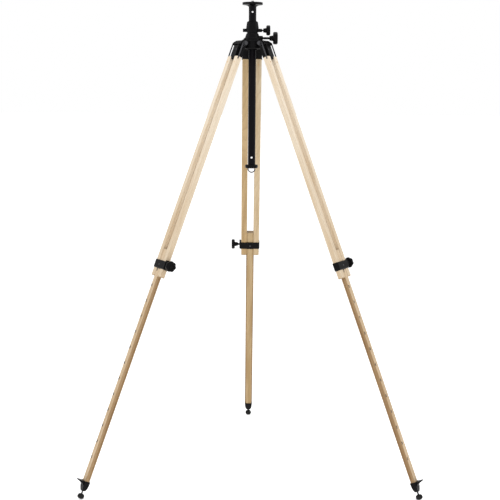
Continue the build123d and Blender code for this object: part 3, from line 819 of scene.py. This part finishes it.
def make_leg_head(number):
    """Leg head casting, straps, their screws and the pins through the rails."""
    softened(f"leg{number}_head", 0.9)
    softened(f"leg{number}_straps", 0.35, 2)
    plate = RAIL_OFFSET + RAIL_THICK / 2 + BLOCK_PROUD
    heads = []
    for side in (-1, 1):
        place = in_leg(number, plate, side * FACE_SCREW_ACROSS, FACE_SCREW_AT, FACE_OUT)
        heads.append(screw_head("face_screw", *FACE_SCREW_HEAD, place))
        turn = FACE_ACROSS if side > 0 else FACE_BACK
        place = in_leg(number, STRAP_MIDDLE, side * (RAIL_HALF_WIDTH + STRAP_THICK), STRAP_SCREW_AT, turn)
        heads.append(screw_head("strap_screw", *STRAP_SCREW_HEAD, place, "slot"))
    settle(joined(f"leg{number}_head_screw_set", heads), f"leg{number}_head_screws")
    reach = RAIL_THICK / 2 + 0.25
    outline = rounded([(0, -reach), (RAIL_PIN_R, -reach), (RAIL_PIN_R, reach), (0, reach)], [0.3, 0.3])
    pins = []
    for side in (-1, 1):
        place = in_leg(number, RAIL_OFFSET, side * RAIL_PIN_ACROSS, RAIL_PIN_AT, FACE_OUT)
        pins.append(turned("pin", outline, place, 32))
    attach(joined(f"leg{number}_rail_pins", pins), f"leg{number}_upper", "ash_upper", PIN_WOOD)


def make_clamp(number):
    """Clamp band with its rivets, a threaded screw and a moulded knob."""
    softened(f"leg{number}_clamp_band", 0.9)
    face_out = RAIL_OFFSET + RAIL_THICK / 2 + BAND_THICK
    face_in = RAIL_OFFSET - RAIL_THICK / 2 - BAND_THICK
    dome = rounded([(0, -0.6), (3.2, -0.6), (3.2, 0.3), (2.0, 0.8), (0, 1.0)], [0, 0.3, 0.6])
    for name, level, turn in (("outer", face_out, FACE_OUT), ("inner", face_in, FACE_IN)):
        rivet = turned(f"leg{number}_band_rivet_{name}", dome, in_leg(number, level, 0, CLAMP_AT, turn), 40)
        attach(rivet, f"leg{number}_upper", "dark_steel")
    screw_low = RAIL_HALF_WIDTH + PLATE_THICK + GAP
    place = in_leg(number, RAIL_OFFSET, screw_low, CLAMP_SCREW_AT, FACE_ACROSS)
    length = CLAMP_SCREW_END - screw_low
    piece = thread(f"leg{number}_clamp_thread", CLAMP_SCREW_R, 1.25, 0, length, 0.6, matrix=place)
    settle(piece, f"leg{number}_clamp_screw")
    place = in_leg(number, RAIL_OFFSET, KNOB_SEAT, CLAMP_SCREW_AT, FACE_ACROSS)
    name = f"leg{number}_clamp_knob_moulded"
    piece = knob(name, KNOB_R, KNOB_THICK, KNOB_NECK_R, KNOB_HUB_R, KNOB_NECK, KNOB_LOBES, place)
    settle(piece, f"leg{number}_clamp_knob")


def make_foot(number):
    """Foot shoe, its cross screw, threaded spike rod and ribbed rubber foot."""
    softened(f"leg{number}_foot_shoe", 1.3)
    place = in_leg(number, RAIL_OFFSET + SHOE_THICK / 2, 0, SHOE_SCREW_AT, FACE_OUT)
    head = screw_head("shoe_head", *SHOE_SCREW_HEAD, place)
    place = in_leg(number, RAIL_OFFSET - SHOE_THICK / 2 + 1.5, 0, SHOE_SCREW_AT, FACE_IN)
    back = screw_head("shoe_back", *SHOE_SCREW_BACK, place, "slot")
    settle(joined(f"leg{number}_shoe_cross_screw", [head, back]), f"leg{number}_shoe_screw")
    place = in_leg(number, RAIL_OFFSET, 0, SPIKE_TIP)
    piece = thread(f"leg{number}_spike_rod", SPIKE_R, 1.0, 0, SPIKE_TIP - SPIKE_TOP, 0.42, 6.0, place, 24)
    settle(piece, f"leg{number}_foot_spike", BLACK_ROD)
    bore = SPIKE_R + 0.05
    outline = [(bore, 0.8)]
    for step in range(21):
        angle = math.radians(9 * step - 90)
        middle = PAD_EDGE_R if step <= 10 else PAD_HEIGHT - PAD_EDGE_R
        outline.append((PAD_R + PAD_EDGE_R * (math.cos(angle) - 1), middle + PAD_EDGE_R * math.sin(angle)))
    outline.append((bore, PAD_HEIGHT - 0.8))
    make_rubber_foot(number, outline)


def make_rubber_foot(number, outline):
    """A rubber foot from its outline, with shallow moulded ribs round its waist and a bore for the rod."""
    bm = bmesh.new()
    segments = 120
    rings = []
    for r, z in outline:
        waist = max(0.0, 1.0 - abs(z / PAD_HEIGHT - 0.5) / 0.30)
        depth = 0.035 * min(waist * 2.0, 1.0) if r > PAD_R * 0.9 else 0.0

        def ribbed(angle, depth=depth):
            return 1.0 - depth * (0.5 - 0.5 * math.cos(angle * 20)) ** 3
        rings.append(ring_of(bm, r, z, segments, ribbed))
    skin(bm, rings, closed_ends=False)
    for i in range(segments):
        j = (i + 1) % segments
        bm.faces.new((rings[-1][i], rings[-1][j], rings[0][j], rings[0][i]))
    place = in_leg(number, RAIL_OFFSET, 0, PAD_TOP + PAD_HEIGHT)
    piece = mesh_object(f"leg{number}_rubber_foot", bm, place)
    smooth_by_angle(piece, 45)
    settle(piece, f"leg{number}_foot_pad")


def make_index_marks(number):
    """Numbered index marks on the lower rail's outer face, for setting the legs alike."""
    face = RAIL_OFFSET + LOWER_THICK / 2
    marks = []
    for index in range(MARK_COUNT):
        text = bpy.data.curves.new("mark", "FONT")
        text.body = str(MARK_HIGHEST - MARK_FALL * index)
        text.size = MARK_SIZE * MM
        text.align_x = "CENTER"
        text.align_y = "CENTER"
        text.extrude = 0.03 * MM
        text.offset = 0.9 * MM
        obj = bpy.data.objects.new("mark", text)
        bpy.context.scene.collection.objects.link(obj)
        down = MARK_FIRST_AT + MARK_STEP * index
        obj.matrix_world = in_leg(number, face, MARK_ACROSS, down) @ READ_UP @ NARROWED
        bpy.context.view_layer.update()
        graph = bpy.context.evaluated_depsgraph_get()
        mesh = bpy.data.meshes.new_from_object(obj.evaluated_get(graph))
        solid = bpy.data.objects.new("mark_mesh", mesh)
        bpy.context.scene.collection.objects.link(solid)
        solid.matrix_world = obj.matrix_world.copy()
        bpy.data.objects.remove(obj)
        marks.append(solid)
    piece = joined(f"leg{number}_index_marks", marks)
    dress(piece, MARK_INK)
    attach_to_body(piece, f"leg{number}_lower")


# ---- stage -------------------------------------------------------------

def make_floor():
    """Plain pale floor."""
    bm = bmesh.new()
    bmesh.ops.create_grid(bm, x_segments=2, y_segments=2, size=90000)
    floor = mesh_object("floor", bm)
    floor.location = (0, 0, GROUND_Z - 0.0005)
    mat, tree, shader = new_material("floor_paper")
    spot = add_node(tree, "TexCoord").outputs["Object"]
    paper = mix_colour(tree, noise(tree, spot, 3.0), grey(0.93), grey(0.90))
    tree.links.new(paper, shader.inputs["Base Color"])
    set_constants(shader, Roughness=0.9, Emission_Color=(1.0, 1.0, 1.0, 1.0), Emission_Strength=0.45)
    dress(floor, mat)


def area_light(name, position, target, size, watts):
    """A square soft box aimed at a point."""
    data = bpy.data.lights.new(name, "AREA")
    data.shape = "SQUARE"
    data.size = size
    data.energy = watts
    light = bpy.data.objects.new(name, data)
    bpy.context.scene.collection.objects.link(light)
    light.location = position
    light.rotation_euler = (Vector(target) - Vector(position)).to_track_quat("-Z", "Y").to_euler()


def make_world():
    """White backdrop for the camera; the light itself is strongest from the front and above."""
    world = bpy.data.worlds.new("studio")
    world.use_nodes = True
    tree = world.node_tree
    way = add_node(tree, "SeparateXYZ", None, Vector=add_node(tree, "TexCoord").outputs["Generated"])
    front = add_node(tree, "MapRange", None, Value=way.outputs["Y"], From_Min=1.0, From_Max=-1.0)
    shade = ramp(tree, front.outputs["Result"],
                 (0.0, grey(0.66)), (0.45, grey(0.60)), (0.72, grey(0.80)), (1.0, grey(0.92)))
    above = ramp(tree, way.outputs["Z"], (0.15, grey(0.0)), (1.0, grey(0.8)))
    lit = mix_colour(tree, above, shade, grey(1.0))
    seen = add_node(tree, "LightPath").outputs["Is Camera Ray"]
    tree.links.new(mix_colour(tree, seen, lit, grey(1.0)), tree.nodes["Background"].inputs["Color"])
    bpy.context.scene.world = world


def make_lights():
    """Plain soft studio light: two side boxes near the head and one above."""
    area_light("side_left", (-2.0, -0.2, 0.5), (0, 0, -0.5), 1.5, 10)
    area_light("side_right", (2.0, -0.2, 0.5), (0, 0, -0.5), 1.5, 10)
    area_light("top", (0.0, -0.3, 1.7), (0, 0, -0.3), 1.2, 12)


def make_camera():
    """Camera a little below the platform, looking slightly down at the whole tripod."""
    place = Vector((-0.0378, -3.6488, -0.3211))
    forward = Vector((0.00985, 0.9903, -0.1388)).normalized()
    roll = math.radians(0.39)
    level = forward.cross(Vector((0, 0, 1))).normalized()
    above = level.cross(forward)
    right = level * math.cos(roll) + above * math.sin(roll)
    up = right.cross(forward)
    data = bpy.data.cameras.new("camera")
    data.sensor_width = 36.0
    data.lens = 77.3
    data.shift_x = -0.001
    data.shift_y = 0.001
    camera = bpy.data.objects.new("camera", data)
    bpy.context.scene.collection.objects.link(camera)
    matrix = Matrix((right, up, -forward)).transposed().to_4x4()
    matrix.translation = place
    camera.matrix_world = matrix
    bpy.context.scene.camera = camera


paint_cad_nodes()
make_head_castings()
make_platform()
make_instrument_screw()
make_lock_screw("collar_screw", 1.0, "collar_screw_thread")
make_lock_screw("guide_screw", 1.25, "guide_screw_thread")
make_head_knobs()
make_set_screw()
make_end_cap()
make_weight_hook()
for leg in LEGS:
    make_leg_head(leg)
    make_clamp(leg)
    make_foot(leg)
    make_index_marks(leg)
make_floor()
make_world()
make_lights()
make_camera()
bpy.context.scene.view_settings.view_transform = "Standard"
